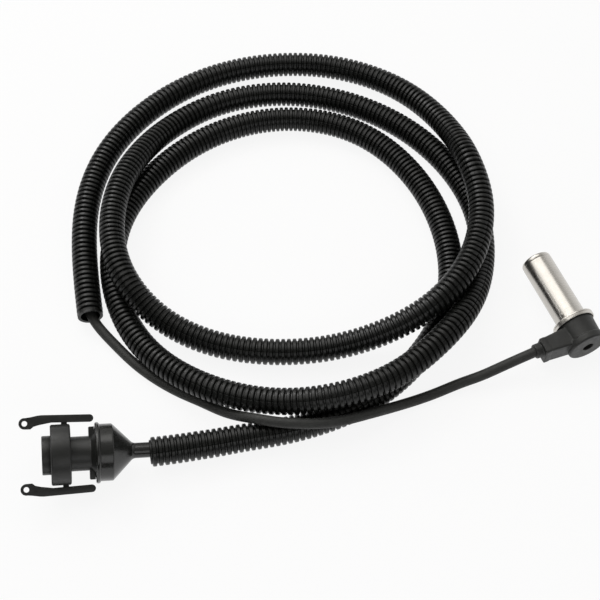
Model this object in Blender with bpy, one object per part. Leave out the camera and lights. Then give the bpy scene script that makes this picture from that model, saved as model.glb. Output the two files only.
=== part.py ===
"""Right-angled wheel speed sensor with its lead in a corrugated conduit and a latching round connector.

Everything is in metres with +Z up. The sensing axis is parallel to +Y, the whole object lies on Z = 0,
and the origin is under the middle of the sensor's own box.
"""

import math

import bmesh
import bpy
import numpy as np
from mathutils import Matrix, Vector

# Clearances
TOUCH_GAP = 0.0003
SEAL_GAP = 0.0003
SIDES_LARGE = 40
SIDES_SMALL = 16
CORNER_STEPS = 3

# Sleeve: a drawn stainless can whose flange is crimped over the head
SLEEVE_RADIUS = 0.0080
SLEEVE_WALL = 0.0006
SLEEVE_REACH = 0.0394
SLEEVE_TIP_ROUND = 0.0014
FLANGE_RADIUS = 0.0110
FLANGE_WALL = 0.0007
SKIRT_DEPTH = 0.0027
FLANGE_ROUND = 0.0006
FLANGE_FILLET = 0.0007
NIB_RADIUS = 0.0013
NIB_PROUD = 0.0006
NIB_FROM_FLANGE = 0.0026
NIB_ANGLE = math.radians(45)

# Moulded head with its side arm and strain collar
HEAD_RADIUS = 0.0101
HEAD_WAIST_RADIUS = 0.0093
HEAD_BODY_LENGTH = 0.0124
END_DISC_RADIUS = 0.0104
END_DISC_THICKNESS = 0.0039
END_DISC_ROUND = 0.0010
END_RECESS_RADIUS = 0.0028
END_RECESS_DEPTH = 0.0035
ARM_REACH = 0.0224
ARM_WIDTH = 0.0082
ARM_HEIGHT = 0.0114
ARM_OFFSET = 0.00905
ARM_CHAMFER = 0.0011
ARM_ROOT_WIDTH = 0.0100
COLLAR_RADIUS = 0.0035
COLLAR_LENGTH = 0.0034
COLLAR_ROUND = 0.0006
SPIGOT_REACH = 0.0115

# Coil unit inside the sleeve
POLE_PIN_RADIUS = 0.0024
POLE_PIN_LENGTH = 0.0165
SPOOL_CORE_WALL = 0.0009
SPOOL_FLANGE_THICKNESS = 0.0011
SPOOL_TIP_STANDOFF = 0.0005
SPOOL_LENGTH = 0.0150
WINDING_RADIUS = 0.0063
MAGNET_RADIUS = 0.0040
MAGNET_LENGTH = 0.0084
TERMINAL_RADIUS = 0.0005
TERMINAL_OFFSET = 0.0056
TERMINAL_TAIL = 0.0055
O_RING_WIRE_RADIUS = 0.0007
O_RING_FROM_FLANGE = 0.0042

# Cable and conduit
CABLE_RADIUS = 0.0026
CONDUIT_RADIUS = 0.0066
CORE_RADIUS = 0.0008
CORE_POINTS = 10
CABLE_POINT_SPACING = 0.0065
CABLE_COLLAR_RUN = 0.0030
CONDUIT_POINT_SPACING = 0.0230
CONDUIT_NECK_RUN = 0.0060

# Round connector, measured from the front of its nose
CONNECTOR_NOSE = (-0.2626, 0.0198)
CONNECTOR_HEADING = math.radians(-15.6)
CONNECTOR_TILT = math.radians(9)
CONNECTOR_ROLL = math.radians(24)
NOSE_RADIUS = 0.00925
NOSE_LENGTH = 0.0043
NOSE_ROUND = 0.0004
BARREL_RADIUS = 0.0082
BARREL_END = 0.0229
SHOULDER_LENGTH = 0.0020
SHELL_TAIL_RADIUS = 0.0116
SHELL_TAIL_END = 0.0325
MATING_BORE_RADIUS = 0.0076
MATING_BORE_DEPTH = 0.0095
SHELL_WEB_THICKNESS = 0.0016
REAR_BORE_RADIUS = 0.0066
LUG_REACH = 0.0125
LUG_WIDTH = 0.0070
LUG_START = 0.0221

# Locking collar round the barrel
LOCK_START = 0.0041
LOCK_LENGTH = 0.0094
LOCK_RADIUS = 0.0143
LOCK_ROUND = 0.0008

# Latch levers beside the collar
LEVER_OFFSET = 0.0170
LEVER_THICKNESS = 0.0034
LEVER_DEPTH = 0.0026
LEVER_TAIL = 0.0138
LEVER_BEND = 0.0128
LEVER_EYE_REACH = 0.0184
LEVER_EYE_DROP = 0.0018
LEVER_EYE_RADIUS = 0.0028
LEVER_EYE_HOLE = 0.0012
LEVER_SPLAY = math.radians(1.75)
LEVER_PIVOT = 0.0108
LEVER_STUB_LENGTH = 0.0022
LEVER_STUB_DEPTH = 0.0022

# Rubber boot behind the barrel
BOOT_START = 0.0249
BOOT_WALL = 0.0017
BEAD_RADIUS = 0.0146
BEAD_LENGTH = 0.0022
BEAD_ROUND = 0.0010
BOOT_LENGTH = 0.0081
CONE_LENGTH = 0.0095
NECK_RADIUS = 0.0035
NECK_LENGTH = 0.0081
CABLE_IN_NECK_GAP = 0.0003

# Contacts and seals inside the connector
TOWER_RADIUS = 0.0050
TOWER_SETBACK = 0.0010
TOWER_FLANGE_RADIUS = 0.0062
TOWER_FLANGE_THICKNESS = 0.0020
CONTACT_RADIUS = 0.00115
CONTACT_BORE_RADIUS = 0.0006
CONTACT_BORE_DEPTH = 0.0060
CONTACT_OFFSET = 0.0025
CONTACT_LENGTH = 0.0165
FACE_SEAL_THICKNESS = 0.0018
WIRE_SEAL_LENGTH = 0.0060
RETAINER_LENGTH = 0.0028

# Route of the conduit from its first run out of the boot to its open mouth, in millimetres
CONDUIT_ROUTE_MM = [
    (-188.5, -0.5, 7.5), (-161.3, -6.7, 7), (-109.5, -10.2, 7), (-75.1, 0.7, 7), (-45, 24.5, 7),
    (-25.5, 74.3, 7), (-27.3, 109.9, 7), (-41.8, 142.8, 7), (-75, 167.7, 7), (-116.4, 173.4, 7),
    (-156.4, 160.8, 7), (-185, 137, 7.2), (-200.1, 99.9, 7), (-198.2, 63.3, 7.9), (-181.7, 31.5, 11.7),
    (-147, 2.4, 16.5), (-129.1, -5.4, 20), (-87.5, -7.4, 21), (-70.2, -2.4, 20.5), (-53.7, 5, 19.4),
    (-22.7, 32, 9.2), (-5.7, 68.7, 7), (-4.1, 87, 7), (-19.4, 140.2, 7), (-55, 177.2, 7),
    (-82.3, 189.4, 7.1), (-113.6, 192.6, 7), (-135, 187.3, 8.6), (-161.5, 169.5, 16.2),
    (-176.2, 153.8, 20.1), (-193.3, 117.9, 21), (-194.6, 99.7, 20), (-189, 79.2, 14.6), (-178.1, 62.7, 10),
    (-136.2, 32.6, 7), (-100.3, 21.2, 10.4), (-50, 22.3, 22.5), (-16.2, 48.7, 22.1), (-3.4, 74, 21.2),
    (0.4, 93.6, 21), (2.9, 112.9, 15.7), (-6.2, 160.6, 7), (-29.7, 187.6, 7), (-60.9, 205.1, 7),
    (-102, 212.6, 7), (-143.2, 204.5, 7), (-178, 182.1, 7), (-196.2, 157.2, 7), (-208.3, 125.8, 7),
    (-217.1, 89.6, 7),
]

# Route of the cable from its first run out of the collar to the conduit's mouth, in millimetres
CABLE_ROUTE_MM = [
    (-27.1, -19.6, 10.3), (-37, -19.3, 8.3), (-48.8, -19.2, 6.3), (-58.2, -18.2, 4.6), (-71.7, -17.7, 3),
    (-87.8, -17.6, 4.5), (-111.1, -18.4, 12.2), (-128.4, -16.7, 14.8), (-145.4, -11.3, 17.2),
    (-154.3, -6.6, 17.3), (-162, -0.7, 15.6), (-168, 6, 10.4), (-174.5, 14.6, 5), (-181.6, 23.9, 3),
    (-188.3, 31.4, 3), (-195.6, 40.9, 3), (-204.6, 56.4, 3), (-211.3, 73.1, 3), (-215.8, 87.2, 4.2),
]
MILLIMETRE = 0.001

# Places worked out from the sizes above
AXIS_HEIGHT = FLANGE_RADIUS
HEAD_BACK = HEAD_BODY_LENGTH + END_DISC_THICKNESS
ARM_TIP = ARM_REACH + COLLAR_LENGTH
SENSOR_X = (ARM_TIP - FLANGE_RADIUS) / 2
SENSOR_Y = (HEAD_BACK - SLEEVE_REACH) / 2
SLEEVE_BORE = SLEEVE_RADIUS - SLEEVE_WALL
SPIGOT_RADIUS = SLEEVE_BORE - TOUCH_GAP
PIN_FRONT = SLEEVE_REACH - SLEEVE_WALL - TOUCH_GAP
SPOOL_FRONT = SLEEVE_REACH - SLEEVE_WALL - SPOOL_TIP_STANDOFF
SPOOL_BACK = SPOOL_FRONT - SPOOL_LENGTH
PIN_BACK = PIN_FRONT - POLE_PIN_LENGTH
SPOOL_TAIL = SPIGOT_REACH + TOUCH_GAP
SPOOL_BORE = POLE_PIN_RADIUS + TOUCH_GAP
SPOOL_CORE_RADIUS = SPOOL_BORE + SPOOL_CORE_WALL
BOOT_BORE = SHELL_TAIL_RADIUS + TOUCH_GAP
BOOT_RADIUS = BOOT_BORE + BOOT_WALL
BEAD_END = BOOT_START + BEAD_LENGTH
CONE_START = BOOT_START + BOOT_LENGTH
NECK_START = CONE_START + CONE_LENGTH
NECK_END = NECK_START + NECK_LENGTH
NECK_BORE = CABLE_RADIUS + CABLE_IN_NECK_GAP
BEAD_REST = ((BEAD_END - BEAD_ROUND) * math.sin(CONNECTOR_TILT)
             + (BEAD_RADIUS - BEAD_ROUND) * math.cos(CONNECTOR_TILT) + BEAD_ROUND)
SHOULDER_REST = CONE_START * math.sin(CONNECTOR_TILT) + BOOT_RADIUS * math.cos(CONNECTOR_TILT)
CONNECTOR_HEIGHT = max(BEAD_REST, SHOULDER_REST)


def clear_scene():
    """Remove every object that the file starts with."""
    for item in list(bpy.data.objects):
        bpy.data.objects.remove(item, do_unlink=True)


def finish(name, colour, roughness, metallic=0.0):
    """Return a Principled material with the given colour, roughness and metallic value."""
    made = bpy.data.materials.new(name)
    made.use_nodes = True
    shader = made.node_tree.nodes["Principled BSDF"]
    shader.inputs["Base Color"].default_value = (*colour, 1.0)
    shader.inputs["Roughness"].default_value = roughness
    shader.inputs["Metallic"].default_value = metallic
    return made


def axis_empty(name, place, turn):
    """Return an empty whose own X runs along a turned group's axis."""
    empty = bpy.data.objects.new(name, None)
    empty.matrix_world = Matrix.Translation(place) @ turn.to_4x4()
    bpy.context.scene.collection.objects.link(empty)
    return empty


def place(name, data, material, parent=None, location=(0, 0, 0), turn=(0, 0, 0)):
    """Make a named object of a mesh or curve, on its parent, with its one material."""
    item = bpy.data.objects.new(name, data)
    bpy.context.scene.collection.objects.link(item)
    data.materials.append(material)
    item.parent = parent
    item.location = location
    item.rotation_euler = turn
    return item


def rounded(outline):
    """Replace each corner (axial, radius, round) of a closed outline by an arc of that round."""
    points = []
    count = len(outline)
    for index, (axial, radius, fillet) in enumerate(outline):
        corner = Vector((axial, radius))
        if fillet <= 0:
            points.append(corner)
            continue
        before = (Vector(outline[index - 1][:2]) - corner).normalized()
        after = (Vector(outline[(index + 1) % count][:2]) - corner).normalized()
        half = before.angle(after) / 2
        reach = fillet / math.tan(half)
        centre = corner + (before + after).normalized() * fillet / math.sin(half)
        first = corner + before * reach - centre
        sweep = (corner + after * reach - centre).angle_signed(first)
        for step in range(CORNER_STEPS + 1):
            turned_by = Matrix.Rotation(sweep * step / CORNER_STEPS, 2)
            points.append(centre + turned_by @ first)
    return points


def turned(name, outline, sides):
    """Revolve a closed outline of (axial, radius, round) corners about X into a closed mesh."""
    build = bmesh.new()
    ring = [build.verts.new((point.x, 0, max(point.y, 0))) for point in rounded(outline)]
    edges = [build.edges.new((ring[i - 1], ring[i])) for i in range(len(ring))]
    bmesh.ops.spin(build, geom=ring + edges, cent=(0, 0, 0), axis=(1, 0, 0), angle=math.tau,
                   steps=sides, use_merge=True)
    bmesh.ops.remove_doubles(build, verts=build.verts, dist=0.000002)
    bmesh.ops.dissolve_degenerate(build, edges=build.edges, dist=0.000001)
    bmesh.ops.recalc_face_normals(build, faces=build.faces)
    return to_mesh(name, build)


def to_mesh(name, build):
    """Write a bmesh to a mesh, shaded smooth up to 35 degrees."""
    mesh = bpy.data.meshes.new(name)
    build.to_mesh(mesh)
    build.free()
    mesh.shade_smooth()
    mesh.set_sharp_from_angle(angle=math.radians(35))
    return mesh


def tube(name, inner, outer, start, end, sides):
    """A plain ring from start to end along X."""
    corners = [(start, inner, 0), (end, inner, 0), (end, outer, 0), (start, outer, 0)]
    return turned(name, corners, sides)


def rod(name, radius, start, end, sides):
    """A plain round bar from start to end along X."""
    return tube(name, 0, radius, start, end, sides)


def boolean(item, cutter, operation):
    """Join or cut an object with a hidden helper, which stays on its parent."""
    cutter.hide_render = True
    cutter.display_type = "WIRE"
    modifier = item.modifiers.new(cutter.name, "BOOLEAN")
    modifier.operation = operation
    modifier.solver = "EXACT"
    modifier.object = cutter


def drill(item, name, parent, radius, start, end, side_place):
    """Cut a round hole along the parent's X through an object."""
    mesh = rod(name, radius, start, end, SIDES_SMALL)
    hole = place(name, mesh, item.data.materials[0], parent, (0, *side_place))
    boolean(item, hole, "DIFFERENCE")


def smooth_line(points, spacing):
    """Points about a spacing apart on the natural cubic spline through the given points."""
    points = np.array(points, float)
    spans = np.linalg.norm(np.diff(points, axis=0), axis=1)[:, None]
    count = len(points)
    system = np.eye(count)
    pull = np.zeros((count, 3))
    slope = np.diff(points, axis=0) / spans
    for i in range(1, count - 1):
        before, after = spans[i - 1, 0], spans[i, 0]
        system[i, i - 1:i + 2] = before, 2 * (before + after), after
        pull[i] = 6 * (slope[i] - slope[i - 1])
    bend = np.linalg.solve(system, pull)
    fine = []
    for i, span in enumerate(spans[:, 0]):
        done = np.linspace(0, span, 40, endpoint=False)[:, None]
        left = span - done
        curved = (bend[i] * left ** 3 + bend[i + 1] * done ** 3) / (6 * span)
        start_part = (points[i] / span - bend[i] * span / 6) * left
        end_part = (points[i + 1] / span - bend[i + 1] * span / 6) * done
        fine.append(curved + start_part + end_part)
    fine = np.vstack([*fine, points[-1:]])
    along = np.concatenate([[0], np.cumsum(np.linalg.norm(np.diff(fine, axis=0), axis=1))])
    at = np.linspace(0, along[-1], round(along[-1] / spacing) + 1)
    return np.stack([np.interp(at, along, fine[:, k]) for k in range(3)], axis=1)


def cord(name, points, radius, resolution, material, parent=None):
    """A capped round tube through the points, as a curve object."""
    curve = bpy.data.curves.new(name, "CURVE")
    curve.dimensions = "3D"
    curve.bevel_depth = radius
    curve.bevel_resolution = resolution
    curve.use_fill_caps = True
    spline = curve.splines.new("POLY")
    spline.points.add(len(points) - 1)
    spline.points.foreach_set("co", np.column_stack([points, np.ones(len(points))]).ravel())
    return place(name, curve, material, parent)


def sensor_sleeve(axis, steel):
    """Drawn can with a closed tip, a flange, a crimped skirt and one locating nib."""
    bore = SLEEVE_BORE
    skirt_bore = HEAD_RADIUS + TOUCH_GAP
    outline = [
        (SLEEVE_REACH, 0, 0),
        (SLEEVE_REACH, SLEEVE_RADIUS, SLEEVE_TIP_ROUND),
        (0, SLEEVE_RADIUS, FLANGE_FILLET),
        (0, FLANGE_RADIUS, FLANGE_ROUND),
        (-SKIRT_DEPTH, FLANGE_RADIUS, 0.0002),
        (-SKIRT_DEPTH, skirt_bore, 0),
        (-FLANGE_WALL, skirt_bore, 0),
        (-FLANGE_WALL, bore, 0),
        (SLEEVE_REACH - SLEEVE_WALL, bore, SLEEVE_TIP_ROUND - SLEEVE_WALL),
        (SLEEVE_REACH - SLEEVE_WALL, 0, 0),
    ]
    sleeve = place("sensor_sleeve", turned("sensor_sleeve", outline, SIDES_LARGE), steel, axis)
    build = bmesh.new()
    bmesh.ops.create_icosphere(build, subdivisions=2, radius=NIB_RADIUS)
    nib = place("nib_form", to_mesh("nib_form", build), steel, axis)
    lift = SLEEVE_RADIUS + NIB_PROUD - NIB_RADIUS
    nib.location = (NIB_FROM_FLANGE, lift * math.cos(NIB_ANGLE), lift * math.sin(NIB_ANGLE))
    boolean(sleeve, nib, "UNION")
    bore_mesh = rod("nib_bore", bore + SLEEVE_WALL / 2, -FLANGE_WALL / 2, NIB_FROM_FLANGE * 2, SIDES_LARGE)
    boolean(nib, place("nib_bore", bore_mesh, steel, axis), "DIFFERENCE")
    return sleeve


def arm_form(axis, plastic):
    """Side arm as a chamfered block that widens at its root, with the strain collar on its end."""
    build = bmesh.new()
    rows = []
    for out, width in ((0, ARM_ROOT_WIDTH), (HEAD_RADIUS, ARM_ROOT_WIDTH),
                       (HEAD_RADIUS + ARM_CHAMFER * 3, ARM_WIDTH), (ARM_REACH, ARM_WIDTH)):
        near = -ARM_OFFSET - ARM_WIDTH / 2 - (width - ARM_WIDTH) / 2
        far = near + width
        rows.append([build.verts.new((x, out, z)) for x, z in (
            (near, -ARM_HEIGHT / 2), (far, -ARM_HEIGHT / 2), (far, ARM_HEIGHT / 2), (near, ARM_HEIGHT / 2))])
    for inner, outer in zip(rows, rows[1:]):
        for i in range(4):
            build.faces.new((inner[i - 1], inner[i], outer[i], outer[i - 1]))
    build.faces.new(rows[0])
    build.faces.new(rows[-1])
    bmesh.ops.recalc_face_normals(build, faces=build.faces)
    outer_edges = [edge for edge in build.edges if max(vert.co.y for vert in edge.verts) > HEAD_RADIUS]
    bmesh.ops.bevel(build, geom=outer_edges, offset=ARM_CHAMFER, segments=2, profile=0.5, affect="EDGES",
                    clamp_overlap=True)
    return place("arm_form", to_mesh("arm_form", build), plastic, axis)


def sensor_head(axis, plastic):
    """Moulded head: spigot in the sleeve, waisted body, end disc with its recess, arm and collar."""
    groove_front = O_RING_FROM_FLANGE + O_RING_WIRE_RADIUS + TOUCH_GAP
    groove_back = O_RING_FROM_FLANGE - O_RING_WIRE_RADIUS - TOUCH_GAP
    groove_radius = SPIGOT_RADIUS - 2 * O_RING_WIRE_RADIUS - TOUCH_GAP
    shoulder = -FLANGE_WALL - TOUCH_GAP
    outline = [
        (-HEAD_BACK, 0, 0),
        (-HEAD_BACK, END_DISC_RADIUS, END_DISC_ROUND),
        (-HEAD_BODY_LENGTH, END_DISC_RADIUS, END_DISC_ROUND / 2),
        (-HEAD_BODY_LENGTH, HEAD_WAIST_RADIUS, 0),
        (-SKIRT_DEPTH - TOUCH_GAP, HEAD_RADIUS, 0),
        (shoulder, HEAD_RADIUS, 0),
        (shoulder, SPIGOT_RADIUS, 0),
        (groove_back, SPIGOT_RADIUS, 0),
        (groove_back, groove_radius, 0),
        (groove_front, groove_radius, 0),
        (groove_front, SPIGOT_RADIUS, 0),
        (SPIGOT_REACH, SPIGOT_RADIUS, END_DISC_ROUND / 2),
        (SPIGOT_REACH, 0, 0),
    ]
    head = place("sensor_head", turned("sensor_head", outline, SIDES_LARGE), plastic, axis)
    boolean(head, arm_form(axis, plastic), "UNION")
    collar = [
        (HEAD_WAIST_RADIUS, 0, 0),
        (ARM_TIP, 0, 0),
        (ARM_TIP, COLLAR_RADIUS, COLLAR_ROUND),
        (HEAD_WAIST_RADIUS, COLLAR_RADIUS, 0),
    ]
    collar_mesh = turned("collar_form", collar, 20)
    collar_place = place("collar_form", collar_mesh, plastic, axis, (-ARM_OFFSET, 0, 0), (0, 0, math.pi / 2))
    boolean(head, collar_place, "UNION")
    drill(head, "end_recess", axis, END_RECESS_RADIUS, -HEAD_BACK - TOUCH_GAP, -HEAD_BACK + END_RECESS_DEPTH,
          (0, 0))
    for side in (1, -1):
        drill(head, f"terminal_pocket_{side}", axis, TERMINAL_RADIUS + TOUCH_GAP,
              SPOOL_TAIL - TERMINAL_TAIL - TOUCH_GAP, SPIGOT_REACH + TOUCH_GAP, (0, side * TERMINAL_OFFSET))
    return head


def coil_unit(axis, black, copper, steel, magnet_grey, brass, rubber):
    """Pole pin, spool, winding, magnet, two terminals and the sealing ring inside the sleeve."""
    place("pole_pin", rod("pole_pin", POLE_PIN_RADIUS, PIN_BACK, PIN_FRONT, 20), steel, axis)
    cup_bore = MAGNET_RADIUS + TOUCH_GAP
    spool_rim = SLEEVE_BORE - TOUCH_GAP
    spool = [
        (SPOOL_FRONT, SPOOL_BORE, 0),
        (SPOOL_FRONT, spool_rim, SLEEVE_TIP_ROUND),
        (SPOOL_FRONT - SPOOL_FLANGE_THICKNESS, spool_rim, 0),
        (SPOOL_FRONT - SPOOL_FLANGE_THICKNESS, SPOOL_CORE_RADIUS, 0),
        (SPOOL_BACK, SPOOL_CORE_RADIUS, 0),
        (SPOOL_BACK, spool_rim, 0),
        (SPOOL_TAIL, spool_rim, 0),
        (SPOOL_TAIL, cup_bore, 0),
        (PIN_BACK, cup_bore, 0),
        (PIN_BACK, SPOOL_BORE, 0),
    ]
    holder = place("coil_bobbin", turned("coil_bobbin", spool, 28), black, axis)
    winding_front = SPOOL_FRONT - SPOOL_FLANGE_THICKNESS - TOUCH_GAP
    winding = tube("coil_winding", SPOOL_CORE_RADIUS + TOUCH_GAP, WINDING_RADIUS, SPOOL_BACK + TOUCH_GAP,
                   winding_front, 28)
    place("coil_winding", winding, copper, axis)
    magnet_front = PIN_BACK - TOUCH_GAP
    place("magnet", rod("magnet", MAGNET_RADIUS, magnet_front - MAGNET_LENGTH, magnet_front, 20), magnet_grey,
          axis)
    terminal_front = SPOOL_BACK - SPOOL_FLANGE_THICKNESS
    for name, side in (("terminal_pin_a", 1), ("terminal_pin_b", -1)):
        drill(holder, f"{name}_hole", axis, TERMINAL_RADIUS + TOUCH_GAP, SPOOL_TAIL - TOUCH_GAP,
              terminal_front + TOUCH_GAP, (0, side * TERMINAL_OFFSET))
        pin = rod(name, TERMINAL_RADIUS, SPOOL_TAIL - TERMINAL_TAIL, terminal_front, 10)
        place(name, pin, brass, axis, (0, 0, side * TERMINAL_OFFSET))
    ring_radius = SPIGOT_RADIUS - O_RING_WIRE_RADIUS
    ring = []
    for step in range(10):
        turn = math.tau * step / 10
        ring.append((O_RING_FROM_FLANGE + O_RING_WIRE_RADIUS * math.cos(turn),
                     ring_radius + O_RING_WIRE_RADIUS * math.sin(turn), 0))
    place("sleeve_o_ring", turned("sleeve_o_ring", ring, 28), rubber, axis)


def connector_shell(axis, plastic):
    """Hollow barrel with a retaining nose, a conical shoulder, two lugs and a tail inside the boot."""
    web_back = MATING_BORE_DEPTH + SHELL_WEB_THICKNESS
    web_bore = TOWER_RADIUS + TOUCH_GAP
    shoulder_end = BARREL_END + SHOULDER_LENGTH
    outline = [
        (0, MATING_BORE_RADIUS, NOSE_ROUND),
        (0, NOSE_RADIUS, NOSE_ROUND),
        (NOSE_LENGTH, NOSE_RADIUS, 0),
        (NOSE_LENGTH, BARREL_RADIUS, 0),
        (BARREL_END, BARREL_RADIUS, SHOULDER_LENGTH / 2),
        (shoulder_end, SHELL_TAIL_RADIUS, 0),
        (SHELL_TAIL_END, SHELL_TAIL_RADIUS, NOSE_ROUND),
        (SHELL_TAIL_END, REAR_BORE_RADIUS, 0),
        (web_back, REAR_BORE_RADIUS, 0),
        (web_back, web_bore, 0),
        (MATING_BORE_DEPTH, web_bore, 0),
        (MATING_BORE_DEPTH, MATING_BORE_RADIUS, 0),
    ]
    shell = place("connector_shell", turned("connector_shell", outline, SIDES_LARGE), plastic, axis)
    lug_end = BOOT_START - TOUCH_GAP
    lug_root = (BARREL_RADIUS + REAR_BORE_RADIUS) / 2
    for side in (1, -1):
        build = bmesh.new()
        bmesh.ops.create_cube(build, size=1)
        size = (lug_end - LUG_START, LUG_REACH - lug_root, LUG_WIDTH)
        bmesh.ops.scale(build, vec=size, verts=build.verts)
        middle = ((lug_end + LUG_START) / 2, side * (LUG_REACH + lug_root) / 2, 0)
        bmesh.ops.translate(build, vec=middle, verts=build.verts)
        bmesh.ops.bevel(build, geom=build.edges, offset=NOSE_ROUND, segments=1, affect="EDGES")
        lug = place(f"lug_form_{side}", to_mesh(f"lug_form_{side}", build), plastic, axis)
        boolean(shell, lug, "UNION")
    return shell


def locking_collar(axis, plastic):
    """Ring round the barrel with a seat for the nose, held between nose and lugs."""
    bore = BARREL_RADIUS + TOUCH_GAP
    nose_seat = NOSE_RADIUS + TOUCH_GAP
    back = LOCK_START + LOCK_LENGTH
    seat_back = NOSE_LENGTH + TOUCH_GAP
    outline = [
        (LOCK_START, nose_seat, 0),
        (LOCK_START, LOCK_RADIUS, LOCK_ROUND),
        (back, LOCK_RADIUS, LOCK_ROUND),
        (back, bore, 0),
        (seat_back, bore, 0),
        (seat_back, nose_seat, 0),
    ]
    return place("locking_collar", turned("locking_collar", outline, SIDES_LARGE), plastic, axis)


def lever_outline():
    """Side view of a latch lever about its pivot: tail round, straight arm, bend and eye."""
    half = LEVER_THICKNESS / 2
    offset = LEVER_OFFSET - LOCK_RADIUS - TOUCH_GAP
    points = []
    tail_centre = LEVER_TAIL - half
    for step in range(7):
        turn = -math.pi / 2 + math.pi * step / 6
        points.append((tail_centre + half * math.cos(turn), offset + half * math.sin(turn)))
    points.append((-LEVER_BEND, offset + half))
    eye = Vector((-LEVER_EYE_REACH, offset - LEVER_EYE_DROP))
    first, last = math.radians(62), math.radians(310)
    for step in range(13):
        turn = first + (last - first) * step / 12
        points.append((eye.x + LEVER_EYE_RADIUS * math.cos(turn), eye.y + LEVER_EYE_RADIUS * math.sin(turn)))
    points.append((-LEVER_BEND + half, offset - half))
    return points, eye


def latch_lever(name, axis, side, plastic):
    """One latch lever on its own pivot empty, with its web and its eye, mirrored by side."""
    pivot = axis_empty(f"{name}_pivot", (0, 0, 0), Matrix.Identity(3))
    pivot.parent = axis
    pivot.location = (LEVER_PIVOT, side * (LOCK_RADIUS + TOUCH_GAP), 0)
    pivot.rotation_euler = (0, 0, -side * LEVER_SPLAY)
    points, eye = lever_outline()
    build = bmesh.new()
    loop = [build.verts.new((x, side * y, -LEVER_DEPTH / 2)) for x, y in points]
    face = build.faces.new(loop)
    raised = bmesh.ops.extrude_face_region(build, geom=[face])["geom"]
    moved = [item for item in raised if isinstance(item, bmesh.types.BMVert)]
    bmesh.ops.translate(build, vec=(0, 0, LEVER_DEPTH), verts=moved)
    bmesh.ops.recalc_face_normals(build, faces=build.faces)
    lever = place(name, to_mesh(name, build), plastic, pivot)
    stub_top = LEVER_OFFSET - LOCK_RADIUS - TOUCH_GAP
    build = bmesh.new()
    bmesh.ops.create_cube(build, size=1)
    bmesh.ops.scale(build, vec=(LEVER_STUB_LENGTH, stub_top, LEVER_STUB_DEPTH), verts=build.verts)
    bmesh.ops.translate(build, vec=(0, side * (stub_top / 2 + TOUCH_GAP), 0), verts=build.verts)
    boolean(lever, place(f"{name}_web_form", to_mesh(f"{name}_web_form", build), plastic, pivot), "UNION")
    hole = rod(f"{name}_eye_hole", LEVER_EYE_HOLE, -LEVER_DEPTH, LEVER_DEPTH, SIDES_SMALL)
    hole_place = place(f"{name}_eye_hole", hole, plastic, pivot, (eye.x, side * eye.y, 0), (0, math.pi / 2, 0))
    boolean(lever, hole_place, "DIFFERENCE")
    return lever


def cable_boot(axis, rubber):
    """Hollow rubber boot: front bead, cylinder over the shell's tail, cone and neck round the cable."""
    inner_cone_end = NECK_START + BOOT_WALL / 2
    outline = [
        (BOOT_START, BOOT_BORE, 0),
        (BOOT_START, BEAD_RADIUS, BEAD_ROUND),
        (BEAD_END, BEAD_RADIUS, BEAD_ROUND),
        (BEAD_END, BOOT_RADIUS, 0),
        (CONE_START, BOOT_RADIUS, BOOT_WALL / 2),
        (NECK_START, NECK_RADIUS, BOOT_WALL),
        (NECK_END, NECK_RADIUS, 0),
        (NECK_END, NECK_BORE, 0),
        (inner_cone_end, NECK_BORE, 0),
        (CONE_START, BOOT_BORE, 0),
    ]
    return place("cable_boot", turned("cable_boot", outline, SIDES_LARGE), rubber, axis)


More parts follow.
